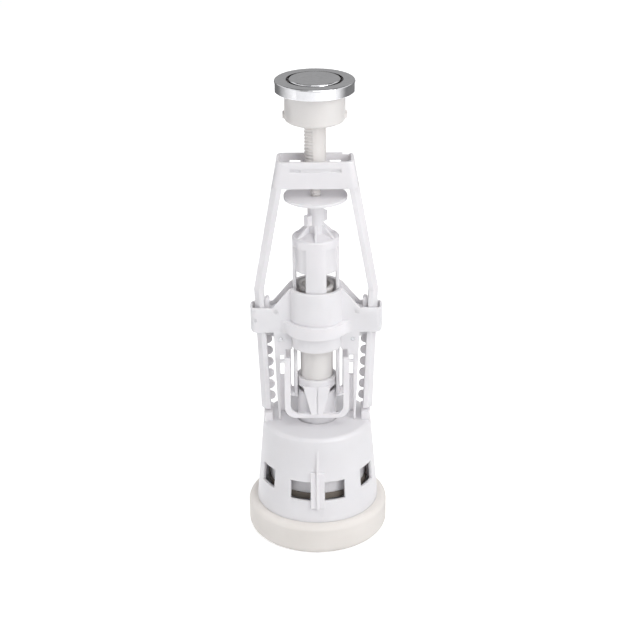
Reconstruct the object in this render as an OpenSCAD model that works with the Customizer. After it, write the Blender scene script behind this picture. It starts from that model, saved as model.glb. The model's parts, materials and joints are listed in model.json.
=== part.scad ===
// Top-button flush valve for a toilet cistern: push button unit, height-adjustable frame,
// guide collar with rocker levers, standpipe with float and seal, windowed body and base ring.

/* [Base] */
// Outer diameter of the thick base gasket
gasket_od = 96; // [88:1:110]
// Height of the base gasket
gasket_h = 22; // [18:1:30]
// Rounding of the gasket's lower outer edge
gasket_low_fillet = 5; // [2:0.5:8]
// Rounding of the gasket's upper outer edge
gasket_top_fillet = 4; // [2:0.5:8]
// Outer diameter of the outlet tail inside the gasket
tail_od = 60; // [56:1:64]
// Height of the tail's lower end above the floor
tail_lift = 2; // [1:0.5:6]
// Diameter of the outlet bore
outlet_d = 49; // [42:1:50]
// Height of the seat lip above the gasket
seat_rise = 14; // [11:1:18]

/* [Valve body] */
// Outer radius of the body at its foot
body_foot_r = 41.9; // [40:0.1:43]
// Outer radius of the body at its top
body_top_r = 36.7; // [35.5:0.1:38]
// Height of the body from foot to top
body_h = 61; // [58:1:72]
// Wall thickness of the body
body_wall = 2; // [1.5:0.1:3]
// Rounding of the body's shoulder
shoulder_fillet = 3; // [2:0.5:4]
// Play between the neck and the opening in the body's top
mouth_play = 1.2; // [0.8:0.1:4]
// Width of a body window
window_w = 14.6; // [10:0.2:15]
// Height of a body window
window_h = 14; // [10:0.5:16]
// Height of the windows' sill above the body's foot
window_sill = 18.7; // [17:0.1:24]
// Angle from the front to the middle of the near windows
near_window_angle = 16.9; // [16:0.1:20]
// Angle from the front to the middle of the far windows
far_window_angle = 57.9; // [50:0.1:65]
// Width of the flat rib between the front windows
pad_rib_w = 9.6; // [4:0.2:9.6]
// Thickness of the upright blade on the flat rib
blade_rib_w = 1.6; // [1:0.1:3]

/* [Float and seal] */
// Outer radius of the float bell
bell_r = 33; // [28:0.5:34]
// Height of the float bell
bell_h = 32; // [24:1:33]
// Outer radius of the bell's neck
neck_r = 13.3; // [12.4:0.1:13.4]
// Height of the neck's rim above the body's top
neck_rise = 21.6; // [18:0.2:22]
// Radius of the main seal
seal_r = 34; // [30:0.5:35]
// Thickness of the main seal
seal_t = 4; // [2:0.5:5]
// Radius of the plate that holds the seal
retainer_r = 20; // [16:0.5:20.5]

/* [Standpipe and yoke] */
// Outer diameter of the standpipe
pipe_od = 21.8; // [20:0.1:22]
// Wall of the standpipe
pipe_wall = 1.5; // [1:0.1:2]
// Height of the standpipe's foot above the body's top
pipe_foot = 27.6; // [26.6:0.2:30]
// Length of the standpipe
pipe_len = 70.4; // [67.4:0.2:72.4]
// Half distance between the arms of a stirrup loop
loop_half_w = 19.7; // [19.5:0.1:21]
// Width of a stirrup arm
loop_band = 4; // [3:0.1:4]
// Depth of a stirrup arm
loop_depth = 3; // [2:0.1:4]
// Inner face of a stirrup loop from the middle plane
loop_plane = 15.5; // [15:0.5:18]
// Outer corner radius of a stirrup loop
loop_corner_r = 8; // [6:0.5:12]
// Height of the loop's bottom bar above the body's top
loop_hang = 7; // [5:0.5:10]
// Height of a stirrup loop
loop_h = 44; // [36:1:46]

/* [Guide collar] */
// Height of the ears' lower edge above the body's top
collar_z = 65.4; // [60:0.2:72]
// Outer radius of the collar's round boss
boss_r = 18.4; // [18:0.1:19.5]
// Height of the boss above the ears' lower edge
boss_h = 31.6; // [28:0.2:36]
// Depth of the round skirt below the ears' lower edge
skirt_drop = 10.7; // [8:0.1:12]
// Radius of the ledge round the boss
ledge_r = 21.5; // [20:0.1:23]
// Height of the ledge
ledge_h = 8.7; // [7:0.1:10]
// Play between a leg's bend and the end wall of its ear
ear_play = 1.1; // [1:0.1:3]
// Height of the ears
ear_h = 17.6; // [16:0.1:20]
// Half depth of the ears and gussets
ear_half_d = 7; // [6.5:0.1:8]
// Wall of the ears, aprons and gussets
collar_wall = 1.6; // [1.2:0.1:2]
// Distance from the legs' foot outline in to the middle of a post
post_inset = 11.4; // [11.1:0.1:11.7]
// Width of a post at the aprons
post_w = 3.6; // [3:0.1:4]
// Gap between the rack teeth and the posts, seen from the front
rack_gap = 1.4; // [1:0.1:1.6]
// Height of the aprons between skirt and post
apron_h = 12.4; // [10:0.2:14]

/* [Levers] */
// Distance from the middle of a post in to a lever's pivot pin
pivot_inset = 2.4; // [2:0.1:2.8]
// Depth of the pivot below the ears' lower edge
pivot_drop = 4.9; // [4.5:0.1:5.5]
// Diameter of a pivot pin
pin_d = 3; // [2:0.1:3.4]
// Width of a lever
lever_w = 4; // [3:0.1:4.4]
// Thickness of a lever
lever_t = 3.2; // [2.4:0.1:3.4]
// Tilt of the levers at rest
lever_tilt = 17; // [15:0.5:18]

/* [Pusher] */
// Outer radius of the pusher's struts
strut_r = 15.6; // [15.2:0.1:15.6]
// Thickness of a strut
strut_t = 1.5; // [1.3:0.1:1.6]
// Width of the front and back struts
strut_w = 13.6; // [12:0.2:16]
// Width of the side struts
side_strut_w = 11; // [10:0.2:13]
// Height of the cap's shoulder above the collar's boss
cap_rise = 35.5; // [30:0.5:40]
// Height of the closed wall of the cap
cap_wall_h = 23; // [18:0.5:26]
// Height of the ribbed cone on the cap
cone_h = 8.5; // [6:0.5:10]
// Outer diameter of the cap's neck
cap_neck_d = 10.8; // [10:0.1:12]
// Height of the cap's neck
cap_neck_h = 17.5; // [12:0.5:20]
// Diameter of the push rod
rod_d = 7; // [5:0.1:7.4]
// Diameter of the adjusting disc
disc_d = 41.4; // [30:0.2:44]
// Thickness of the adjusting disc
disc_t = 2; // [1.5:0.1:3]

/* [Frame] */
// Half width of the bridge at its top
bridge_half_w = 24.9; // [23:0.1:27]
// Depth of the bridge
bridge_d = 20.7; // [18:0.1:26]
// Height of the bridge
bridge_h = 17.9; // [15:0.1:22]
// Height of the bridge's lower edge above the adjusting disc
bridge_gap = 7.3; // [3:0.1:14]
// Wall of the bridge
bridge_wall = 2; // [1.5:0.1:3]
// Width of the slots in the bridge's long walls
bridge_slot_w = 33; // [20:0.5:34]
// Distance of the legs' bend inside the outline of the body's foot
leg_inset = 0.6; // [0.5:0.1:1.1]
// Height of the bend above the ears' lower edge
bend_rise = 29.1; // [26:0.1:34]
// Lean of a lower leg from its bend in to its foot
leg_lean = 3.3; // [2.3:0.1:3.7]
// Width of a leg seen from the front
leg_w = 6.6; // [5.6:0.1:6.8]
// Thickness of a leg's flanges and web
leg_wall = 1.8; // [1.4:0.1:2]
// Height of the legs' lower ends above the body's top
leg_foot = 7; // [6.5:0.1:14]
// Pitch of the rack teeth
tooth_pitch = 8.5; // [7.5:0.1:9.5]
// Height of a rack tooth
tooth_h = 6.1; // [5:0.1:7]
// Length of a rack tooth
tooth_l = 3.5; // [3.4:0.1:4]
// Number of teeth on a rack
tooth_count = 6; // [3:1:6]

/* [Button unit] */
// Outer diameter of the threaded tube
tube_d = 14.3; // [13:0.1:15.5]
// Free length of the threaded tube above the bridge
tube_rise = 24.8; // [15:0.1:40]
// Outer diameter of the button housing
housing_d = 39; // [38:0.1:45]
// Height of the button housing
housing_h = 19.7; // [18:0.1:28]
// Outer diameter of the bezel
bezel_d = 51.5; // [48:0.1:60]
// Height of the bezel
bezel_h = 7.2; // [5.5:0.1:10]
// Diameter of the push button
button_d = 33; // [26:0.1:33.4]
// Travel of the push button
press = 6; // [4:0.1:6]

/* [Hidden] */
$fn = 64;
// Clearances: pieces that pass each other, running fits, and overrun of cuts
slip = 0.4;
run = 0.05;
over = 1;
// Height levels from the floor upwards
body_top_z = gasket_h + body_h;
seat_top_z = gasket_h + seat_rise;
seal_top_z = seat_top_z + seal_t;
bell_top_z = seal_top_z + bell_h;
neck_top_z = body_top_z + neck_rise;
pipe_foot_z = body_top_z + pipe_foot;
pipe_top_z = pipe_foot_z + pipe_len;
ear_z = body_top_z + collar_z;
ear_top_z = ear_z + ear_h;
boss_top_z = ear_z + boss_h;
skirt_z = ear_z - skirt_drop;
apron_z = ear_z - apron_h;
pivot_z = ear_z - pivot_drop;
shoulder_z = boss_top_z + cap_rise;
cone_top_z = shoulder_z + cone_h;
cap_top_z = cone_top_z + cap_neck_h;
disc_top_z = cap_top_z + disc_t;
bridge_z = disc_top_z + bridge_gap;
bridge_top_z = bridge_z + bridge_h;
housing_z = bridge_top_z + tube_rise;
bezel_z = housing_z + housing_h;
bezel_top_z = bezel_z + bezel_h;
// Side layout, from the body's foot outline inwards
bend_half_w = body_foot_r - leg_inset;
leg_foot_half_w = bend_half_w - leg_lean;
ear_half_l = bend_half_w + ear_play + collar_wall;
post_x = leg_foot_half_w - post_inset;
pivot_x = post_x - pivot_inset;
// Radii that fits share
pipe_r = pipe_od / 2;
rod_r = rod_d / 2;
tube_r = tube_d / 2;
guide_r = strut_r + slip;
strut_in_r = strut_r - strut_t;
leg_half_d = ear_half_d - collar_wall - slip;
channel_half = ear_half_d - collar_wall;
// Lever arms: the outer arm is set by the press, the inner one by the ring on the standpipe
ring_r = neck_r;
lever_out = press / (2 * sin(lever_tilt));
lever_tip_r = 0.9;
lever_in = pivot_x - pipe_r - slip - lever_tip_r;
lever_gap = 0.4;
lever_end_r = lever_t / 2;
ring_z = pivot_z - lever_in * sin(lever_tilt) + lever_tip_r + lever_gap;
finger_z = pivot_z + lever_out * sin(lever_tilt) + lever_end_r + lever_gap;

// Point on an arc of radius r about [x, y] at angle a
function arc_point(x, y, r, a) = [x + r * cos(a), y + r * sin(a)];
// Points of an arc from angle a0 to a1
function arc(x, y, r, a0, a1, steps = 10) =
    [for (i = [0:steps]) arc_point(x, y, r, a0 + (a1 - a0) * i / steps)];
// Outer radius of the tapered body at height z
function body_r(z) = body_foot_r + (body_top_r - body_foot_r) * (z - gasket_h) / body_h;
// Outer half width over the legs at height z, below and above the bend
bend_z = ear_z + bend_rise;
leg_foot_z = body_top_z + leg_foot;
function leg_x(z) = z < bend_z
    ? leg_foot_half_w + (bend_half_w - leg_foot_half_w) * (z - leg_foot_z) / (bend_z - leg_foot_z)
    : bend_half_w + (bridge_half_w - bend_half_w) * (z - bend_z) / (bridge_top_z - bend_z);

// Outer edge of a post at height z, beside the tips of the rack teeth
function post_out(z) = leg_x(z) - leg_w - tooth_l - rack_gap;

// Upright plate: an outline in x and z, centred on the middle plane
module plate(thickness) {
    rotate([90, 0, 0]) linear_extrude(thickness, center = true) children();
}

// The same shape on the left and the right
module both_sides() {
    children();
    mirror([1, 0, 0]) children();
}

// The same shape at the front and the back
module front_and_back() {
    children();
    mirror([0, 1, 0]) children();
}

// Rectangle with rounded corners, by half sizes
module rounded(hx, hy, r) {
    square([2 * hx, 2 * hy - 2 * r], center = true);
    square([2 * hx - 2 * r, 2 * hy], center = true);
    for (sx = [-1, 1], sy = [-1, 1]) translate([sx * (hx - r), sy * (hy - r)]) circle(r);
}

// Flat ring
module ring(r_out, r_in, h) {
    difference() {
        cylinder(h = h, r = r_out);
        translate([0, 0, -over]) cylinder(h = h + 2 * over, r = r_in);
    }
}

// Thick soft ring that seals the cistern's outlet hole
module base_gasket() {
    r = gasket_od / 2;
    low = gasket_low_fillet;
    top = gasket_top_fillet;
    color("ivory") rotate_extrude($fn = 128) polygon(concat(
        [[tail_od / 2, 0]],
        arc(r - low, low, low, -90, 0),
        arc(r - top, gasket_h - top, top, 0, 90),
        [[tail_od / 2, gasket_h]]));
}

// Seat lip with its flange and the short outlet tail
seat_flange_t = 3;
seat_lip_w = 3;
seat_flare = 1;
seat_chamfer = 0.8;
module outlet_seat() {
    flange_r = body_r(gasket_h + seat_flange_t) - body_wall;
    bore = outlet_d / 2;
    lip_r = bore + seat_lip_w;
    flare_z = seat_top_z - retainer_t - seat_flare;
    color("white") rotate_extrude($fn = 128) polygon([
        [bore, tail_lift], [tail_od / 2, tail_lift], [tail_od / 2, gasket_h], [flange_r, gasket_h],
        [flange_r, gasket_h + seat_flange_t], [lip_r, gasket_h + seat_flange_t],
        [lip_r, seat_top_z - seat_chamfer], [lip_r - seat_chamfer, seat_top_z],
        [bore + seat_flare, seat_top_z], [bore + seat_flare, flare_z + seat_flare], [bore, flare_z]]);
}

// Windowed, tapered body with ribs and the two rests below the racks
pedestal_h = 6;
pedestal_half_w = 8;
module body_cone(inset, z0, z1) {
    translate([0, 0, z0])
        cylinder(h = z1 - z0, r1 = body_r(z0) - inset, r2 = body_r(z1) - inset, $fn = 128);
}
module body_outer() {
    f = shoulder_fillet;
    rotate_extrude($fn = 128) polygon(concat(
        [[0, gasket_h], [body_foot_r, gasket_h]],
        arc(body_r(body_top_z - f) - f, body_top_z - f, f, 0, 90),
        [[0, body_top_z]]));
    intersection() {
        body_cone(0, body_top_z - f, body_top_z + pedestal_h);
        both_sides() translate([post_x + post_w, -pedestal_half_w, body_top_z - f])
            cube([body_top_r, 2 * pedestal_half_w, pedestal_h + f]);
    }
}
pad_below = 7.7;
pad_above = 5.3;
pad_proud = 1.2;
blade_above = 15;
blade_below = 3;
blade_proud = 2.4;
module body_ribs() {
    pad_low = window_sill - pad_below;
    pad_high = window_sill + window_h + pad_above;
    blade_high = pad_high + blade_above;
    front_and_back() {
        rotate([90, 0, -90]) linear_extrude(pad_rib_w, center = true) polygon([
            [body_r(gasket_h + pad_low) - body_wall, gasket_h + pad_low],
            [body_r(gasket_h + pad_low) + pad_proud, gasket_h + pad_low],
            [body_r(gasket_h + pad_high) + pad_proud, gasket_h + pad_high - pad_proud],
            [body_r(gasket_h + pad_high) - body_wall, gasket_h + pad_high]]);
        rotate([90, 0, -90]) linear_extrude(blade_rib_w, center = true) polygon([
            [body_r(gasket_h + pad_low) - body_wall, gasket_h + pad_low - blade_below],
            [body_r(gasket_h + pad_low) + blade_proud, gasket_h + pad_low],
            [body_r(gasket_h + pad_high) + blade_proud, gasket_h + pad_high],
            [body_r(gasket_h + blade_high), gasket_h + blade_high],
            [body_r(gasket_h + blade_high) - body_wall, gasket_h + blade_high]]);
    }
}
near_window_drop = 3;
module window(angle, drop) {
    for (side = [0, 180], a = [angle, -angle])
        rotate([0, 0, side + a]) translate([-window_w / 2, -body_foot_r - over, gasket_h + window_sill - drop])
            cube([window_w, body_foot_r / 2, window_h]);
}
module valve_body() {
    color("white") difference() {
        union() {
            body_outer();
            body_ribs();
        }
        body_cone(body_wall, gasket_h - over, body_top_z - body_wall);
        cylinder(h = body_top_z + over, r = neck_r + mouth_play);
        window(near_window_angle, near_window_drop);
        window(far_window_angle, 0);
    }
}

// Guide collar: round boss, ledge, hollow ears for the racks, gussets, aprons and posts
ear_corner_r = 4;
ear_low_r = 3;
ledge_blend_r = 6;
skirt_step = 0.7;
gusset_out = 3.4;
apron_bite = 2;
hook_inset = 5.8;
hook_w = 5;
hook_h = 10;
hook_hole_rise = 2;
hook_hole_w = 2.4;
hook_hole_h = 3.6;
back_web_h = 28;
mark_h = 0.7;
mark_gap = 1.3;
mark_l = 4.2;
latch_pin_r = 1.2;
latch_out = 0.4;
latch_drop = 2.5;
gusset_foot_x = post_x + gusset_out;
hook_x = post_x - hook_inset;
latch_x = post_x + latch_out;
latch_z = ear_top_z - latch_drop;
module ledge_plan() {
    blend_x = sqrt(pow(ledge_r + ledge_blend_r, 2) - pow(ear_half_d + ledge_blend_r, 2));
    blend_y = ear_half_d + ledge_blend_r;
    circle(ledge_r);
    for (sx = [0, 1], sy = [0, 1]) mirror([sx, 0]) mirror([0, sy]) difference() {
        polygon([[0, 0], [blend_x, 0], [blend_x, blend_y]]);
        translate([blend_x, blend_y]) circle(ledge_blend_r);
    }
}
module ears() {
    intersection() {
        translate([0, 0, ear_z]) linear_extrude(ear_h) rounded(ear_half_l, ear_half_d, ear_corner_r);
        plate(4 * ear_half_d) translate([0, ear_z + ear_h]) rounded(ear_half_l, ear_h, ear_low_r);
    }
}
module collar_outer() {
    ears();
    translate([0, 0, ear_z]) linear_extrude(ledge_h) ledge_plan();
    translate([0, 0, ear_z]) cylinder(h = boss_h, r = boss_r);
    translate([0, 0, skirt_z]) cylinder(h = skirt_drop + over, r = boss_r - skirt_step);
    plate(2 * ear_half_d) polygon([
        [-gusset_foot_x, ear_top_z - over], [gusset_foot_x, ear_top_z - over],
        [boss_r - over, boss_top_z], [over - boss_r, boss_top_z]]);
    both_sides() {
        plate(2 * ear_half_d) polygon([
            [boss_r - apron_bite, apron_z], [post_out(apron_z), apron_z],
            [post_out(ear_z), ear_z + over], [boss_r - apron_bite, ear_z + over]]);
        plate(2 * ear_half_d) polygon([
            [post_x - post_w / 2, body_top_z], [post_out(body_top_z), body_top_z],
            [post_out(apron_z), apron_z + over], [post_x - post_w / 2, apron_z + over]]);
        translate([hook_x, -ear_half_d, apron_z - hook_h]) cube([hook_w, 2 * ear_half_d, hook_h + over]);
        translate([foot_r + slip, channel_half, body_top_z])
            cube([post_x - foot_r - slip, collar_wall, back_web_h]);
    }
}
module guide_collar() {
    inner_l = ear_half_l - collar_wall;
    color("white") difference() {
        collar_outer();
        translate([0, 0, body_top_z - over]) cylinder(h = boss_top_z - body_top_z + 2 * over, r = guide_r);
        translate([-inner_l, -channel_half, body_top_z - over])
            cube([2 * inner_l, 2 * channel_half, boss_top_z - body_top_z + 2 * over]);
        both_sides() {
            translate([pivot_x, 0, pivot_z]) rotate([90, 0, 0])
                cylinder(h = 4 * ear_half_d, r = pin_d / 2 + run, center = true);
            translate([latch_x, 0, latch_z]) rotate([90, 0, 0])
                cylinder(h = 4 * ear_half_d, r = latch_pin_r + run, center = true);
            translate([hook_x + hook_w / 2 - hook_hole_w / 2, -2 * ear_half_d, apron_z - hook_h + hook_hole_rise])
                cube([hook_hole_w, 4 * ear_half_d, hook_hole_h]);
        }
        for (turn = [0, 180], row = [-1, 1]) rotate([0, 0, turn])
            translate([-ear_half_l - over, -ear_half_d - over, ear_z + (ear_h - mark_h + row * mark_gap) / 2])
                cube([mark_l + over, collar_wall / 2 + over, mark_h]);
    }
}

// Pivot pin of a lever, through both aprons
module lever_pin() {
    color("silver") translate([pivot_x, 0, pivot_z]) rotate([90, 0, 0])
        cylinder(h = 2 * ear_half_d, d = pin_d, center = true);
}
module right_lever_pin() { lever_pin(); }
module left_lever_pin() { mirror([1, 0, 0]) lever_pin(); }

// Rocker lever: pushed down outside its pin, it lifts the ring on the standpipe
hub_wall = 1.4;
module lever() {
    hub_r = pin_d / 2 + hub_wall;
    color("white") translate([pivot_x, 0, pivot_z]) rotate([0, -lever_tilt, 0]) difference() {
        union() {
            plate(lever_w) {
                polygon([
                    [lever_out, lever_end_r], [0, lever_end_r], [-lever_in, lever_tip_r],
                    [-lever_in, -lever_tip_r], [0, -lever_end_r], [lever_out, -lever_end_r]]);
                translate([-lever_in, 0]) circle(lever_tip_r);
                translate([lever_out, 0]) circle(lever_end_r);
            }
            rotate([90, 0, 0]) cylinder(h = 2 * (channel_half - slip), r = hub_r, center = true);
        }
        rotate([90, 0, 0]) cylinder(h = 4 * ear_half_d, r = pin_d / 2 + run, center = true);
    }
}
module right_lever() { lever(); }
module left_lever() { mirror([1, 0, 0]) lever(); }

// Latch that holds a rack: thumb tab, arm and two short trunnions
latch_tab_x = 5.6;
latch_tab_r = 1.6;
latch_tab_h = 8.5;
latch_arm_r = 2.2;
latch_arm_h = 3.3;
module latch() {
    latch_half = leg_half_d - leg_wall - 2 * slip;
    color("white") translate([latch_x, 0, latch_z]) {
        plate(2 * latch_half) {
            circle(latch_arm_r);
            translate([0, -latch_arm_r]) square([latch_tab_x, latch_arm_h]);
            translate([latch_tab_x - latch_tab_r, -latch_arm_r])
                square([2 * latch_tab_r, latch_tab_h + latch_arm_r - latch_tab_r]);
            translate([latch_tab_x, latch_tab_h - latch_tab_r]) circle(latch_tab_r);
        }
        rotate([90, 0, 0]) cylinder(h = 2 * ear_half_d - run, r = latch_pin_r, center = true);
    }
}
module right_latch() { latch(); }
module left_latch() { mirror([1, 0, 0]) latch(); }

// Overflow standpipe with a thicker rim
rim_h = 2;
rim_proud = 0.9;
module overflow_tube() {
    color("ivory") translate([0, 0, pipe_foot_z]) difference() {
        union() {
            cylinder(h = pipe_len, r = pipe_r);
            translate([0, 0, pipe_len - rim_h]) cylinder(h = rim_h, r = pipe_r + rim_proud);
        }
        translate([0, 0, -over]) cylinder(h = pipe_len + 2 * over, r = pipe_r - pipe_wall);
    }
}

// Ring on the standpipe that the levers lift
lift_ring_h = 3.2;
module lift_ring() {
    color("white") translate([0, 0, ring_z]) ring(ring_r, pipe_r, lift_ring_h);
}

// Yoke at the foot of the standpipe: socket, fins, two sloping webs and two stirrup loops
socket_h = 6;
socket_floor = 2;
fin_t = 3;
bar_t = 2.6;
web_top_half = 9.2;
web_tip_half = 3.2;
cone_inset = 0.6;
cone_tip_r = 8.9;
cone_bore_r = 7.6;
cone_dip = 2;
groove_w = 1.2;
groove_d = 0.9;
module loop_outline(half_w, z0, r) {
    top = body_top_z + loop_hang + loop_h;
    translate([-half_w, z0 + r]) square([2 * half_w, top - z0 - r]);
    translate([r - half_w, z0]) square([2 * (half_w - r), 2 * r]);
    for (sx = [-1, 1]) translate([sx * (half_w - r), z0 + r]) circle(r);
}
module stirrup_loop() {
    z0 = body_top_z + loop_hang;
    half_out = loop_half_w + loop_band / 2;
    translate([0, -loop_plane - loop_depth / 2, 0]) plate(loop_depth) difference() {
        loop_outline(half_out, z0, loop_corner_r);
        translate([0, bar_t]) loop_outline(half_out - loop_band, z0, loop_corner_r - loop_band / 2);
    }
}
module sloping_web() {
    z0 = body_top_z + loop_hang;
    outer = loop_plane + loop_depth;
    difference() {
        intersection() {
            plate(4 * outer) polygon([
                [-web_tip_half, z0], [web_tip_half, z0],
                [web_top_half, pipe_foot_z], [-web_top_half, pipe_foot_z]]);
            rotate([90, 0, -90]) linear_extrude(4 * outer, center = true) polygon([
                [loop_plane, z0], [outer, z0], [outer, z0 + bar_t], [neck_r, pipe_foot_z],
                [pipe_r - pipe_wall, pipe_foot_z], [neck_r + slip, neck_top_z], [loop_plane, z0 + bar_t]]);
        }
        rotate([90, 0, -90]) linear_extrude(groove_w, center = true) polygon([
            [outer + over, z0 + bar_t], [neck_r + over, pipe_foot_z + over],
            [neck_r - groove_d, pipe_foot_z + over], [outer - groove_d, z0 + bar_t]]);
    }
}
module lift_yoke() {
    socket_z = pipe_foot_z - socket_floor;
    color("white") {
        difference() {
            translate([0, 0, socket_z]) ring(neck_r, pipe_r - pipe_wall, socket_h);
            translate([0, 0, pipe_foot_z]) cylinder(h = socket_h, r = pipe_r);
        }
        rotate_extrude() polygon([
            [cone_bore_r, neck_top_z - cone_dip], [cone_tip_r, neck_top_z - cone_dip],
            [neck_r - cone_inset, socket_z], [pipe_r - pipe_wall, socket_z], [cone_bore_r, neck_top_z]]);
        intersection() {
            translate([0, 0, neck_top_z]) ring(neck_r, cone_bore_r, socket_z - neck_top_z);
            translate([-fin_t / 2, -2 * neck_r, neck_top_z]) cube([fin_t, 4 * neck_r, pipe_foot]);
        }
        front_and_back() {
            stirrup_loop();
            sloping_web();
        }
    }
}

// Float bell: open below, with a central neck that carries the yoke and the seal
bell_wall = 2;
neck_wall = 1.7;
retainer_t = 3;
module float_bell() {
    in_r = neck_r - neck_wall;
    foot_z = seat_top_z - retainer_t;
    color("white") rotate_extrude($fn = 128) polygon(concat(
        [[in_r, foot_z], [neck_r, foot_z], [neck_r, bell_top_z - bell_wall],
         [bell_r - bell_wall, bell_top_z - bell_wall], [bell_r - bell_wall, seal_top_z], [bell_r, seal_top_z]],
        arc(bell_r - bell_wall, bell_top_z - bell_wall, bell_wall, 0, 90, 6),
        [[neck_r, bell_top_z], [neck_r, neck_top_z], [in_r, neck_top_z]]));
}

// Rubber seal on the seat lip
module main_seal() {
    color("dimgray") translate([0, 0, seat_top_z]) ring(seal_r, neck_r, seal_t);
}

// Plate that clamps the seal under the bell
module seal_retainer() {
    color("white") translate([0, 0, seat_top_z - retainer_t]) ring(retainer_r, neck_r, retainer_t);
}

// Pusher: ribbed cap with a neck, four struts, and a wing on each side strut that presses a lever
cap_inset = 1.2;
cap_band_h = 5.5;
cap_r = strut_r - cap_inset;
cap_wall = 2.2;
cap_top_t = 3;
cone_step_h = 2.8;
rib_t = 1.6;
rib_count = 6;
rib_bite = 1;
rib_inset = 0.4;
lug_angle = 45;
lug_r = 9;
lug_w = 3.6;
lug_h = 7;
wing_h = 4;
wing_inset = 0.4;
wing_w = lever_w - wing_inset;
finger_half = 1.4;
foot_out = 2.2;
foot_r = strut_r + foot_out;
foot_w = 10;
foot_h = 2.5;
strut_top_drop = 0.8;
strut_foot_rise = 17;
strut_foot_z = body_top_z + strut_foot_rise;
wing_z = pivot_z + lever_in * sin(lever_tilt) + lever_end_r + press + 2 * slip;
module strut(foot_z, width) {
    intersection() {
        translate([0, 0, foot_z]) ring(strut_r, strut_in_r, shoulder_z - strut_top_drop - foot_z);
        translate([0, -width / 2, foot_z]) cube([2 * strut_r, width, shoulder_z - foot_z]);
    }
}
module side_strut() {
    wing_end = pivot_x + lever_out + finger_half;
    difference() {
        strut(strut_foot_z, side_strut_w);
        translate([0, -lever_w / 2 - slip, pivot_z - lever_in * sin(lever_tilt) - 2 * lever_end_r])
            cube([2 * strut_r, lever_w + 2 * slip, wing_z - slip - pivot_z + lever_in * sin(lever_tilt)
                  + 2 * lever_end_r]);
    }
    intersection() {
        translate([0, 0, strut_foot_z]) ring(foot_r, strut_in_r, foot_h);
        translate([0, -foot_w / 2, strut_foot_z]) cube([2 * strut_r, foot_w, foot_h]);
    }
    plate(wing_w) {
        translate([strut_r - strut_t / 2, wing_z]) square([wing_end - strut_r + strut_t / 2, wing_h]);
        translate([wing_end - 2 * finger_half, finger_z + finger_half])
            square([2 * finger_half, wing_z - finger_z - finger_half + wing_h]);
        translate([wing_end - finger_half, finger_z + finger_half]) circle(finger_half);
    }
}
module pusher_cap() {
    neck = cap_neck_d / 2;
    bore = rod_r + run;
    color("white") {
        rotate_extrude() polygon([
            [cap_r, shoulder_z - cap_wall_h], [cap_r, shoulder_z - cap_band_h],
            [strut_r, shoulder_z - cap_band_h], [strut_r, shoulder_z - strut_top_drop],
            [strut_r - strut_top_drop, shoulder_z], [cap_r - cap_wall, shoulder_z],
            [neck, shoulder_z + cone_step_h], [neck, cap_top_z], [bore, cap_top_z],
            [bore, shoulder_z - cap_top_t], [cap_r - cap_wall, shoulder_z - cap_top_t],
            [cap_r - cap_wall, shoulder_z - cap_wall_h]]);
        for (i = [0:rib_count - 1]) rotate([0, 0, (i + 0.5) * 360 / rib_count])
            plate(rib_t) polygon([
                [neck - rib_bite, shoulder_z], [cap_r - rib_inset, shoulder_z],
                [neck, cone_top_z], [neck - rib_bite, cone_top_z]]);
        for (side = [0, 180]) rotate([0, 0, lug_angle + side])
            translate([neck - rib_bite, -lug_w / 2, cone_top_z]) cube([lug_r - neck + rib_bite, lug_w, lug_h]);
        both_sides() side_strut();
        for (a = [90, 270]) rotate([0, 0, a]) strut(ear_z + ledge_h, strut_w);
    }
}

// Thumb disc that sets the rod's height
module adjusting_disc() {
    color("white") translate([0, 0, cap_top_z]) ring(disc_d / 2, rod_r + run, disc_t);
}

// Push rod from the cap's neck up into the threaded tube
rod_foot_drop = 48;
rod_top_drop = 9;
stem_gap = 0.2;
rod_top_z = housing_z - rod_top_drop;
module push_rod() {
    color("ivory") translate([0, 0, cap_top_z - rod_foot_drop])
        cylinder(h = rod_top_z - cap_top_z + rod_foot_drop, r = rod_r);
}

// Frame: box bridge with a threaded boss, leaning channel legs and racks with teeth
bridge_corner_r = 4.5;
bridge_floor = 2;
tube_boss_r = 9.5;
boss_drop = 4;
bridge_slot_h = 2.2;
bridge_back_slot_h = 3.6;
bridge_slot_drop = 4.6;
bridge_groove = 0.5;
bridge_recess = 1.1;
notch_x = 17.8;
notch_w = 4.6;
notch_h = 1.2;
chamfer_x = leg_w / 2;
chamfer_y = 0.75 * leg_half_d;
bend_step = 0.1;
bend_lap = 0.2;
sliver = 0.02;
tooth_round = tooth_h / 2;
tooth_top_drop = 6.4;
tooth_top_z = ear_z - tooth_top_drop;
module slice(z) { translate([0, 0, z]) linear_extrude(sliver) children(); }
// Plan of a leg, its outer face at x = 0: chamfered towards the outside, and moved in all round by inset
module leg_plan(width, half_d, inset) {
    slope = norm([chamfer_x, chamfer_y]);
    x_bevel = chamfer_x + inset * (slope - chamfer_x) / chamfer_y;
    y_bevel = half_d - chamfer_y - inset * (slope - chamfer_y) / chamfer_x;
    y_face = half_d - inset;
    polygon([
        [-width, -y_face], [-x_bevel, -y_face], [-inset, -y_bevel],
        [-inset, y_bevel], [-x_bevel, y_face], [-width, y_face]]);
}
module leg_section(z, half_d, width, inset) {
    slice(z) translate([leg_x(z), 0]) leg_plan(width, half_d, inset);
}
module upper_leg() {
    difference() {
        hull($fn = 32) {
            leg_section(bend_z, leg_half_d, leg_w, 0);
            leg_section(bridge_z, bridge_d / 2, leg_w, 0);
        }
        hull($fn = 32) {
            leg_section(bend_z - over, leg_half_d, leg_w + over, leg_wall);
            leg_section(bridge_z + over, bridge_d / 2, leg_w + over, leg_wall);
        }
    }
}
module rack_tooth(z_top) {
    x_tip = leg_x(z_top) - leg_w - tooth_l;
    z_low = z_top - tooth_h;
    translate([x_tip + tooth_round, z_low]) square([tooth_l, tooth_h]);
    translate([x_tip + tooth_round, z_low + tooth_round]) circle(tooth_round);
}
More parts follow.
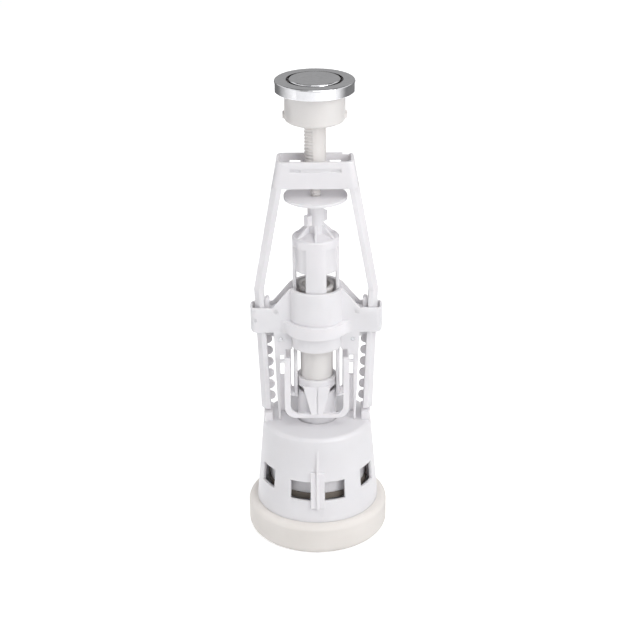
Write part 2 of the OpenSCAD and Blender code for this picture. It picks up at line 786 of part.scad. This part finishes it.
module lower_leg() {
    lean = atan((bend_half_w - leg_foot_half_w) / (bend_z - leg_foot_z));
    wall = leg_wall - bend_step;
    translate([leg_foot_half_w, 0, leg_foot_z]) rotate([0, lean, 0])
        linear_extrude((bend_z - leg_foot_z) / cos(lean) + bend_lap) difference() {
            leg_plan(leg_w - bend_step, leg_half_d, bend_step);
            leg_plan(leg_w + over, leg_half_d, wall);
        }
    translate([0, leg_half_d - leg_wall / 2, 0]) plate(leg_wall - 2 * bend_step)
        for (i = [0:tooth_count - 1]) rack_tooth(tooth_top_z - i * tooth_pitch);
}
module bridge_block(inset, z0, z1) {
    hull($fn = 32) for (z = [z0, z1 - sliver])
        slice(z) rounded(leg_x(z) - inset, bridge_d / 2 - inset, bridge_corner_r - inset / 2);
}
// Recesses beside the boss in front, a shallow groove across it, open slots and a notch at the back
module bridge_slots() {
    slot_top = bridge_top_z - bridge_slot_drop;
    both_sides() translate([tube_boss_r, -bridge_d / 2 - over, slot_top - bridge_slot_h])
        cube([bridge_slot_w / 2 - tube_boss_r, bridge_recess + over, bridge_slot_h]);
    translate([-bridge_slot_w / 2, -bridge_d / 2 - over, slot_top - bridge_slot_h])
        cube([bridge_slot_w, bridge_groove + over, bridge_slot_h]);
    both_sides() translate([tube_boss_r, bridge_d / 2 - bridge_wall, slot_top - bridge_back_slot_h])
        cube([bridge_slot_w / 2 - tube_boss_r, bridge_wall + over, bridge_back_slot_h]);
    translate([notch_x, bridge_d / 2 - bridge_wall - over, bridge_top_z - notch_h])
        cube([notch_w, bridge_wall + 2 * over, notch_h + over]);
}
module top_frame() {
    color("white") {
        difference() {
            union() {
                difference() {
                    bridge_block(0, bridge_z, bridge_top_z);
                    bridge_block(bridge_wall, bridge_z + bridge_floor, bridge_top_z + over);
                }
                translate([0, 0, bridge_z]) cylinder(h = bridge_h - boss_drop, r = tube_boss_r);
            }
            translate([0, 0, bridge_z + bridge_floor]) cylinder(h = bridge_h, r = tube_r + run);
            translate([0, 0, bridge_z - over]) cylinder(h = bridge_h, r = rod_r + slip);
            bridge_slots();
        }
        both_sides() {
            upper_leg();
            lower_leg();
        }
    }
}

// Tube of the button unit, screwed into the bridge
module threaded_tube() {
    color("ivory") translate([0, 0, bridge_z + bridge_floor])
        ring(tube_r, rod_r + 2 * slip, housing_z - bridge_z - bridge_floor);
}

// Housing cup with two small lugs
housing_wall = 1.8;
housing_floor = 2.5;
housing_fillet = 2.3;
stem_d = 6;
lug_ring = 1.2;
housing_lug_w = 8;
housing_lug_h = 3;
housing_lug_rise = 2.5;
bezel_seat = 1;
module button_housing() {
    r = housing_d / 2;
    in_r = r - housing_wall;
    bore = stem_d / 2 + run;
    color("ivory") {
        rotate_extrude($fn = 128) polygon(concat(
            [[bore, housing_z]],
            arc(r - housing_fillet, housing_z + housing_fillet, housing_fillet, -90, 0, 6),
            [[r, bezel_z + bezel_seat], [in_r, bezel_z + bezel_seat], [in_r, housing_z + housing_floor],
             [bore, housing_z + housing_floor]]));
        intersection() {
            translate([0, 0, housing_z + housing_lug_rise])
                ring(r + lug_ring, r - housing_wall / 2, housing_lug_h);
            translate([-r - 2 * lug_ring, -housing_lug_w / 2, housing_z])
                cube([2 * r + 4 * lug_ring, housing_lug_w, housing_h]);
        }
    }
}

// Chromed bezel that rests on the cistern's lid
bezel_gap = 1.7;
bezel_fillet = 1.2;
bezel_foot_fillet = 0.6;
module button_bezel() {
    r = bezel_d / 2;
    in_r = button_d / 2 + bezel_gap;
    seat_r = housing_d / 2 + run;
    f = bezel_fillet;
    g = bezel_foot_fillet;
    color("silver") rotate_extrude($fn = 128) polygon(concat(
        [[in_r, bezel_z + bezel_seat], [seat_r, bezel_z + bezel_seat], [seat_r, bezel_z]],
        arc(r - g, bezel_z + g, g, -90, 0, 4),
        arc(r - f, bezel_top_z - f, f, 0, 90),
        [[in_r, bezel_top_z]]));
}

// Push button with a rounded edge, hollow below
button_proud = 0.6;
button_fillet = 1;
button_h = 7;
button_wall = 1.6;
module push_button() {
    r = button_d / 2;
    z1 = bezel_top_z + button_proud;
    z0 = z1 - button_h;
    f = button_fillet;
    color("silver") rotate_extrude($fn = 128) polygon(concat(
        [[0, z1 - button_wall - f], [r - button_wall, z1 - button_wall - f], [r - button_wall, z0], [r, z0]],
        arc(r - f, z1 - f, f, 0, 90, 6),
        [[0, z1]]));
}

// Plunger under the button, down to the push rod
plunger_flange_r = 11;
plunger_flange_h = 2;
plunger_top_z = bezel_top_z + button_proud - button_wall - button_fillet;
module button_stem() {
    color("ivory") {
        translate([0, 0, rod_top_z + stem_gap]) cylinder(h = plunger_top_z - rod_top_z - stem_gap, d = stem_d);
        translate([0, 0, plunger_top_z - plunger_flange_h]) cylinder(h = plunger_flange_h, r = plunger_flange_r);
    }
}

// Return spring round the plunger, swept along a helix
spring_r = 8;
wire_r = 0.6;
spring_turns = 5;
spring_steps = 16;
wire_sides = 6;
spring_foot_z = housing_z + housing_floor;
spring_top_z = plunger_top_z - plunger_flange_h;
module button_spring() {
    rings = spring_turns * spring_steps;
    rise = spring_top_z - spring_foot_z - 2 * wire_r;
    points = [for (i = [0:rings], k = [0:wire_sides - 1])
        let (a = i * 360 / spring_steps, b = k * 360 / wire_sides)
        [(spring_r + wire_r * cos(b)) * cos(a), (spring_r + wire_r * cos(b)) * sin(a),
         spring_foot_z + wire_r + rise * i / rings + wire_r * sin(b)]];
    sides = [for (i = [0:rings - 1], k = [0:wire_sides - 1])
        let (n = (k + 1) % wire_sides)
        [i * wire_sides + k, (i + 1) * wire_sides + k, (i + 1) * wire_sides + n, i * wire_sides + n]];
    ends = [[for (k = [0:wire_sides - 1]) k], [for (k = [wire_sides - 1:-1:0]) rings * wire_sides + k]];
    color("gray") polyhedron(points, concat(sides, ends));
}

base_gasket();
outlet_seat();
valve_body();
guide_collar();
left_lever_pin();
right_lever_pin();
left_lever();
right_lever();
left_latch();
right_latch();
overflow_tube();
lift_ring();
lift_yoke();
float_bell();
main_seal();
seal_retainer();
pusher_cap();
adjusting_disc();
push_rod();
top_frame();
threaded_tube();
button_housing();
button_bezel();
push_button();
button_stem();
button_spring();
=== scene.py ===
"""Looks of the flush valve: finishes, threads, moulded edges, studio light and the photograph's camera."""
import json
import math

import bpy
from mathutils import Matrix, Vector


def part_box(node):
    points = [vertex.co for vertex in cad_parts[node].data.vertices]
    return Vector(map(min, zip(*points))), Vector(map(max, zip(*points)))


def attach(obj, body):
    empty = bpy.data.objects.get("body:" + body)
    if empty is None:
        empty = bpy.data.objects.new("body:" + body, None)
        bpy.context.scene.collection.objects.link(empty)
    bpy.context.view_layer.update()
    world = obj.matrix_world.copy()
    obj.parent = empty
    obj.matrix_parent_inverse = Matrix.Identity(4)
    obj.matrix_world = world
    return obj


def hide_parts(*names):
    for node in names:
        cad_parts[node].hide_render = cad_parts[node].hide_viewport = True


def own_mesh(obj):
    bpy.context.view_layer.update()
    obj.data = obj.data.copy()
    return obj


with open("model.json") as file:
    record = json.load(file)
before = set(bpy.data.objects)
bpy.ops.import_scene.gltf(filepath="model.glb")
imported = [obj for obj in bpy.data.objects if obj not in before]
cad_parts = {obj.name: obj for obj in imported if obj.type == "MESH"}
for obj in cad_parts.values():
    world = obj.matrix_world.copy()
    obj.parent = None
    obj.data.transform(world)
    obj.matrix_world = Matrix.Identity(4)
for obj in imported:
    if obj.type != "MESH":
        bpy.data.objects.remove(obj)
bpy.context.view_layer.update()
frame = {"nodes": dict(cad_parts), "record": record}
MM = 0.001
scene = bpy.context.scene
scene.view_settings.view_transform = "Standard"

# Camera: image side and focal length in pixels, sensor width, pitch, roll, distance and the point it looks at
IMAGE_SIDE = 630
FOCAL_PX = 1600.0
SENSOR_MM = 36.0
PITCH = math.radians(24.3)
ROLL = math.radians(-0.46)
DISTANCE = 1070 * MM
AIM = Vector((-0.9 * MM, 0.0, 158 * MM))


def add_camera():
    data = bpy.data.cameras.new("camera")
    data.sensor_width = SENSOR_MM
    data.lens = FOCAL_PX / IMAGE_SIDE * SENSOR_MM
    camera = bpy.data.objects.new("camera", data)
    place = AIM + DISTANCE * Vector((0, -math.cos(PITCH), math.sin(PITCH)))
    turn = Matrix.Rotation(math.pi / 2 - PITCH, 4, "X") @ Matrix.Rotation(ROLL, 4, "Z")
    camera.matrix_world = Matrix.Translation(place) @ turn
    scene.collection.objects.link(camera)
    scene.camera = camera


# Node helpers
def node_tree(owner):
    """Emptied node tree of a material or of the world."""
    owner.use_nodes = True
    owner.node_tree.nodes.clear()
    return owner.node_tree


def add_node(tree, kind, **settings):
    """New node; each setting is the input of that name or else a property."""
    node = tree.nodes.new(kind)
    for name, value in settings.items():
        if name in node.inputs:
            node.inputs[name].default_value = value
        else:
            setattr(node, name, value)
    return node


def link(tree, out_node, out_socket, in_node, in_socket):
    """Joins two sockets, each given by its name or its number."""
    tree.links.new(out_node.outputs[out_socket], in_node.inputs[in_socket])


def to_surface(tree, shader, kind="ShaderNodeOutputMaterial"):
    """Makes a shader the surface of its material, or of the world."""
    link(tree, shader, 0, add_node(tree, kind), "Surface")


def map_range(tree, source, socket, before, after, **settings):
    """Maps a value from the range before to the range after."""
    node = add_node(tree, "ShaderNodeMapRange", **settings)
    node.inputs["From Min"].default_value, node.inputs["From Max"].default_value = before
    node.inputs["To Min"].default_value, node.inputs["To Max"].default_value = after
    link(tree, source, socket, node, "Value")
    return node


# Noise: the values that are spread over a whole range, and how much detail clouds and fine grain have
NOISE_SPAN = (0.3, 0.7)
CLOUD_DETAIL = 4.0
GRAIN_DETAIL = 3.0


def noise(tree, scale, detail, stretch=(1, 1, 1)):
    """Noise in object space, so that it has a real scale in metres."""
    coords = add_node(tree, "ShaderNodeTexCoord")
    mapping = add_node(tree, "ShaderNodeMapping", Scale=stretch)
    texture = add_node(tree, "ShaderNodeTexNoise", Scale=scale, Detail=detail)
    link(tree, coords, "Object", mapping, "Vector")
    link(tree, mapping, "Vector", texture, "Vector")
    return texture


def tint(tree, source, dark, light):
    """Colour that goes from dark to light with a noise."""
    node = add_node(tree, "ShaderNodeValToRGB")
    for element, position, colour in zip(node.color_ramp.elements, NOISE_SPAN, (dark, light)):
        element.position = position
        element.color = (*colour, 1)
    link(tree, source, "Fac", node, "Fac")
    return node


# Plastics and rubber: dark and light colour, range of roughness, scale and strength of the fine grain, and the
# share of the light that goes below the surface
MOULDED = {
    "white_plastic": ((0.795, 0.78, 0.80), (0.83, 0.815, 0.835), (0.30, 0.40), 900.0, 0.04, 0.55),
    "ivory_plastic": ((0.785, 0.755, 0.735), (0.825, 0.795, 0.775), (0.36, 0.46), 900.0, 0.05, 0.5),
    "ivory_foam": ((0.785, 0.75, 0.715), (0.83, 0.795, 0.76), (0.62, 0.78), 700.0, 0.12, 0.3),
    "seal_rubber": ((0.16, 0.14, 0.12), (0.22, 0.19, 0.16), (0.55, 0.7), 800.0, 0.10, 0.0),
}
CLOUD_SCALE = 38.0
GLOSS_SCALE = 90.0
MOULDED_BUMP = 0.1 * MM
SUBSURFACE_RADIUS = (1.0, 0.95, 0.92)
SUBSURFACE_SCALE = 4 * MM
EDGE_ROUND = 0.35 * MM
EDGE_SAMPLES = 6

# Metals: dark and light colour, range of roughness, stretch of the grain along X, Y and Z, and its strength
METALS = {
    "chrome": ((0.70, 0.70, 0.72), (0.76, 0.76, 0.78), (0.05, 0.10), (1, 1, 1), 0.01),
    "pin_steel": ((0.50, 0.50, 0.52), (0.60, 0.60, 0.62), (0.25, 0.35), (1, 12, 1), 0.05),
    "spring_steel": ((0.40, 0.40, 0.42), (0.52, 0.52, 0.54), (0.25, 0.4), (1, 1, 1), 0.05),
}
METAL_GRAIN = 400.0
METAL_BUMP = 0.05 * MM


def moulded(name, dark, light, rough, grain, bump, depth):
    """Moulded plastic or rubber: faint cloudy colour, uneven gloss, fine grain and softened edges."""
    material = bpy.data.materials.new(name)
    tree = node_tree(material)
    shader = add_node(tree, "ShaderNodeBsdfPrincipled")
    shader.inputs["Subsurface Weight"].default_value = depth
    shader.inputs["Subsurface Radius"].default_value = SUBSURFACE_RADIUS
    shader.inputs["Subsurface Scale"].default_value = SUBSURFACE_SCALE
    clouds = noise(tree, CLOUD_SCALE, CLOUD_DETAIL)
    link(tree, tint(tree, clouds, dark, light), "Color", shader, "Base Color")
    gloss = noise(tree, GLOSS_SCALE, CLOUD_DETAIL)
    link(tree, map_range(tree, gloss, "Fac", NOISE_SPAN, rough), "Result", shader, "Roughness")
    soft_edge = add_node(tree, "ShaderNodeBevel", Radius=EDGE_ROUND, samples=EDGE_SAMPLES)
    fine = add_node(tree, "ShaderNodeBump", Strength=bump, Distance=MOULDED_BUMP)
    link(tree, noise(tree, grain, GRAIN_DETAIL), "Fac", fine, "Height")
    link(tree, soft_edge, "Normal", fine, "Normal")
    link(tree, fine, "Normal", shader, "Normal")
    to_surface(tree, shader)
    return material


def metal(name, dark, light, rough, stretch, bump):
    """Bright metal with a faint drawn or polished grain."""
    material = bpy.data.materials.new(name)
    tree = node_tree(material)
    shader = add_node(tree, "ShaderNodeBsdfPrincipled", Metallic=1.0)
    grain = noise(tree, METAL_GRAIN, GRAIN_DETAIL, stretch)
    link(tree, tint(tree, grain, dark, light), "Color", shader, "Base Color")
    link(tree, map_range(tree, grain, "Fac", NOISE_SPAN, rough), "Result", shader, "Roughness")
    fine = add_node(tree, "ShaderNodeBump", Strength=bump, Distance=METAL_BUMP)
    link(tree, grain, "Fac", fine, "Height")
    link(tree, fine, "Normal", shader, "Normal")
    to_surface(tree, shader)
    return material


finishes = {name: moulded(name, *values) for name, values in MOULDED.items()}
finishes.update({name: metal(name, *values) for name, values in METALS.items()})


def dress_nodes():
    """Gives every CAD node the finish of its slot."""
    for row in frame["record"]["subparts"]:
        mesh = frame["nodes"][row["node"]].data
        mesh.materials.clear()
        mesh.materials.append(finishes[row["material_slot"]])


def new_piece(name, verts, faces, slot, body):
    """Smooth-shaded piece of the scene that moves with a body."""
    mesh = bpy.data.meshes.new(name)
    mesh.from_pydata(verts, [], faces)
    mesh.update()
    piece = bpy.data.objects.new(name, mesh)
    scene.collection.objects.link(piece)
    mesh.materials.append(finishes[slot])
    for polygon in mesh.polygons:
        polygon.use_smooth = True
    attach(piece, body)
    return piece


# Threads: fineness of the mesh, and the angle in radians over which a thread runs out beside its sector
THREAD_SIDES = 96
ROWS_PER_PITCH = 10
RUN_OUT = 0.12
# Threaded tube: wall, pitch, depth, and the threaded sector as its middle and half its angle
TUBE_WALL = 2.7 * MM
TUBE_PITCH = 2.3 * MM
TUBE_DEPTH = 0.7 * MM
TUBE_SECTOR = (math.pi, math.radians(78))
# Push rod: radius of its bore, pitch, depth, and a sector wide enough to go all round
ROD_BORE_R = 0.6 * MM
ROD_PITCH = 1.6 * MM
ROD_DEPTH = 0.45 * MM
ROD_SECTOR = (0.0, 4.0)


def thread_shape(turns):
    """Depth from 0 at the crest to 1 in the groove, for a rounded thread."""
    return 0.5 - 0.5 * math.cos(math.tau * (turns % 1.0))


def threaded_tube_mesh(r_out, r_in, z0, z1, pitch, depth, sector):
    """Tube with a thread in one sector and a smooth face over the rest; sector is (middle, half angle)."""
    sides = THREAD_SIDES
    rows = int((z1 - z0) / (pitch / ROWS_PER_PITCH))
    verts = []
    for i in range(rows + 1):
        z = z0 + (z1 - z0) * i / rows
        for k in range(sides):
            angle = math.tau * k / sides
            away = abs((angle - sector[0] + math.pi) % math.tau - math.pi)
            mask = min(1.0, max(0.0, (sector[1] - away) / RUN_OUT))
            r = r_out - depth * mask * thread_shape((z - z0) / pitch - angle / math.tau)
            verts.append((r * math.cos(angle), r * math.sin(angle), z))
    top = rows * sides
    bore = len(verts)
    bore_top = bore + sides
    for z in (z0, z1):
        for k in range(sides):
            angle = math.tau * k / sides
            verts.append((r_in * math.cos(angle), r_in * math.sin(angle), z))
    faces = []
    for k in range(sides):
        n = (k + 1) % sides
        for i in range(rows):
            faces.append((i * sides + k, i * sides + n, (i + 1) * sides + n, (i + 1) * sides + k))
        faces.append((bore + n, bore + k, bore_top + k, bore_top + n))
        faces.append((k, bore + k, bore + n, n))
        faces.append((top + k, top + n, bore_top + n, bore_top + k))
    return verts, faces


def add_threads():
    """Puts real threads on the tube and on the rod, which are plain in the CAD."""
    low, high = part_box("threaded_tube")
    r_out = (high.x - low.x) / 2
    verts, faces = threaded_tube_mesh(r_out, r_out - TUBE_WALL, low.z, high.z,
                                      TUBE_PITCH, TUBE_DEPTH, TUBE_SECTOR)
    tube = new_piece("thread_tube", verts, faces, "ivory_plastic", "frame")
    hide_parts("threaded_tube")
    low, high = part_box("push_rod")
    r_out = (high.x - low.x) / 2
    verts, faces = threaded_tube_mesh(r_out, ROD_BORE_R, low.z, high.z, ROD_PITCH, ROD_DEPTH, ROD_SECTOR)
    rod = new_piece("thread_rod", verts, faces, "ivory_plastic", "rod")
    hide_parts("push_rod")


# Return spring of the button: turns, radius of the wire, and fineness of the mesh along a turn and round
# the wire
SPRING_TURNS = 5
SPRING_WIRE_R = 0.6 * MM
STEPS_PER_TURN = 32
WIRE_SIDES = 12


def coil_mesh(coil_r, wire_r, z0, z1, turns):
    """Round wire wound along a helix between two heights."""
    sides = WIRE_SIDES
    rings = turns * STEPS_PER_TURN
    verts = []
    for i in range(rings + 1):
        angle = math.tau * i / STEPS_PER_TURN
        z = z0 + wire_r + (z1 - z0 - 2 * wire_r) * i / rings
        for k in range(sides):
            around = math.tau * k / sides
            r = coil_r + wire_r * math.cos(around)
            verts.append((r * math.cos(angle), r * math.sin(angle), z + wire_r * math.sin(around)))
    faces = [tuple(range(sides)), tuple(rings * sides + k for k in reversed(range(sides)))]
    for i in range(rings):
        for k in range(sides):
            n = (k + 1) % sides
            faces.append((i * sides + k, (i + 1) * sides + k, (i + 1) * sides + n, i * sides + n))
    return verts, faces


def add_spring():
    """The spring stands on the housing's floor, wound over the length of the CAD's plain spring."""
    low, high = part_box("button_spring")
    coil_r = (high.x - low.x) / 2 - SPRING_WIRE_R
    verts, faces = coil_mesh(coil_r, SPRING_WIRE_R, low.z, high.z, SPRING_TURNS)
    spring = new_piece("return_spring", verts, faces, "spring_steel", "frame")
    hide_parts("button_spring")
    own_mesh(spring)


# Stage: floor, world, cards and lamps, in metres
WHITE = (1, 1, 1, 1)
FLOOR_SIDE = 6.0
FLOOR_Z = -0.2 * MM
FLOOR_COLOUR = (0.76, 0.76, 0.76, 1)
FLOOR_GLOW = 0.68


def seen_directly(tree):
    """One for rays from the camera, off metal or through glass, and zero for soft light."""
    path = add_node(tree, "ShaderNodeLightPath")
    first = add_node(tree, "ShaderNodeMath", operation="MAXIMUM")
    both = add_node(tree, "ShaderNodeMath", operation="MAXIMUM")
    link(tree, path, "Is Camera Ray", first, 0)
    link(tree, path, "Is Glossy Ray", first, 1)
    link(tree, first, 0, both, 0)
    link(tree, path, "Is Transmission Ray", both, 1)
    return both


def add_sheet(name, corners, material):
    """Flat sheet with four corners."""
    mesh = bpy.data.meshes.new(name)
    mesh.from_pydata(corners, [], [(0, 1, 2, 3)])
    mesh.materials.append(material)
    sheet = bpy.data.objects.new(name, mesh)
    scene.collection.objects.link(sheet)
    return sheet


def add_floor():
    """Pale floor that keeps the object's shadow and is lifted to white where it is seen."""
    material = bpy.data.materials.new("pale_floor")
    tree = node_tree(material)
    glow = add_node(tree, "ShaderNodeMath", operation="MULTIPLY")
    glow.inputs[1].default_value = FLOOR_GLOW
    link(tree, seen_directly(tree), 0, glow, 0)
    diffuse = add_node(tree, "ShaderNodeBsdfDiffuse", Color=FLOOR_COLOUR)
    light = add_node(tree, "ShaderNodeEmission")
    link(tree, glow, 0, light, "Strength")
    both = add_node(tree, "ShaderNodeAddShader")
    link(tree, diffuse, 0, both, 0)
    link(tree, light, 0, both, 1)
    to_surface(tree, both)
    half = FLOOR_SIDE / 2
    corners = [(-half, -half, 0), (half, -half, 0), (half, half, 0), (-half, half, 0)]
    floor = add_sheet("floor", corners, material)
    floor.location.z = FLOOR_Z


AMBIENT = 0.38
AMBIENT_COLOUR = (0.98, 0.98, 1.0, 1)


def add_world():
    """White for the camera and in the metal; a weaker and slightly cooler light falls on the object."""
    world = bpy.data.worlds.new("studio")
    scene.world = world
    tree = node_tree(world)
    ambient = add_node(tree, "ShaderNodeBackground", Color=AMBIENT_COLOUR, Strength=AMBIENT)
    white = add_node(tree, "ShaderNodeBackground", Color=WHITE, Strength=1.0)
    shown = add_node(tree, "ShaderNodeMixShader")
    link(tree, seen_directly(tree), 0, shown, 0)
    link(tree, ambient, 0, shown, 1)
    link(tree, white, 0, shown, 2)
    to_surface(tree, shown, "ShaderNodeOutputWorld")


# Studio cards that only the metal shows: name, grey level, the share of the card over which it fades in
# from white along Y, and the corners of an upright or leaning sheet
CARDS = (
    ("card_back", 0.40, 0.0,
     ((-1.6, 1.3, 0.0), (1.6, 1.3, 0.0), (1.6, 1.9, 2.0), (-1.6, 1.9, 2.0))),
    ("card_right", 0.26, 0.25,
     ((0.50, -0.30, 0.0), (0.50, 1.3, 0.0), (0.56, 1.3, 0.55), (0.56, -0.30, 0.55))),
    ("card_left", 0.22, 0.47,
     ((-0.50, -0.40, 0.0), (-0.50, 1.3, 0.0), (-0.56, 1.3, 0.55), (-0.56, -0.40, 0.55))),
    ("card_high", 0.06, 0.0,
     ((-1.6, 1.9, 2.0), (1.6, 1.9, 2.0), (1.6, 0.6, 2.7), (-1.6, 0.6, 2.7))),
    ("card_front", 0.60, 0.0,
     ((-1.6, -1.5, 0.5), (1.6, -1.5, 0.5), (1.6, -1.9, 2.0), (-1.6, -1.9, 2.0))),
    ("card_ceiling", 0.50, 0.0,
     ((-1.6, -1.9, 2.0), (1.6, -1.9, 2.0), (1.6, 0.6, 2.7), (-1.6, 0.6, 2.7))),
)
CARD_WHITE = 1.3


def card_material(name, grey, fade):
    material = bpy.data.materials.new(name)
    tree = node_tree(material)
    light = add_node(tree, "ShaderNodeEmission", Color=WHITE, Strength=grey)
    if fade:
        coords = add_node(tree, "ShaderNodeTexCoord")
        along = add_node(tree, "ShaderNodeSeparateXYZ")
        link(tree, coords, "Generated", along, "Vector")
        level = map_range(tree, along, "Y", (0.0, fade), (CARD_WHITE, grey), interpolation_type="SMOOTHSTEP")
        link(tree, level, "Result", light, "Strength")
    to_surface(tree, light)
    return material


def add_cards():
    for name, grey, fade, corners in CARDS:
        card = add_sheet(name, corners, card_material(name, grey, fade))
        card.visible_camera = False
        card.visible_diffuse = False
        card.visible_shadow = False
        card.visible_transmission = False


# Soft lamps: name, place, width and height, power, the point it is aimed at, and whether the metal mirrors it
MIDDLE = (0, 0, 0.16)
FOOT = (0, 0, 0.02)
LAMPS = (
    ("key", (0.95, -0.95, 0.80), (0.8, 0.9), 7.2, MIDDLE, True),
    ("top", (0.25, -0.45, 1.2), (0.9, 0.9), 4.6, MIDDLE, True),
    ("front", (0.6, -1.0, 0.65), (0.5, 0.5), 2.5, MIDDLE, True),
    ("bounce", (-0.62, -0.12, 0.05), (0.5, 0.08), 1.0, FOOT, True),
    ("back", (-0.4, 1.1, 0.75), (0.8, 0.8), 4.5, MIDDLE, False),
)


def add_lamps():
    for name, place, size, power, target, in_metal in LAMPS:
        data = bpy.data.lights.new(name, "AREA")
        data.shape = "RECTANGLE"
        data.size, data.size_y = size
        data.energy = power
        lamp = bpy.data.objects.new(name, data)
        lamp.location = place
        lamp.rotation_euler = (Vector(target) - Vector(place)).to_track_quat("-Z", "Y").to_euler()
        lamp.visible_glossy = in_metal
        scene.collection.objects.link(lamp)


add_camera()
dress_nodes()
add_threads()
add_spring()
add_floor()
add_world()
add_cards()
add_lamps()
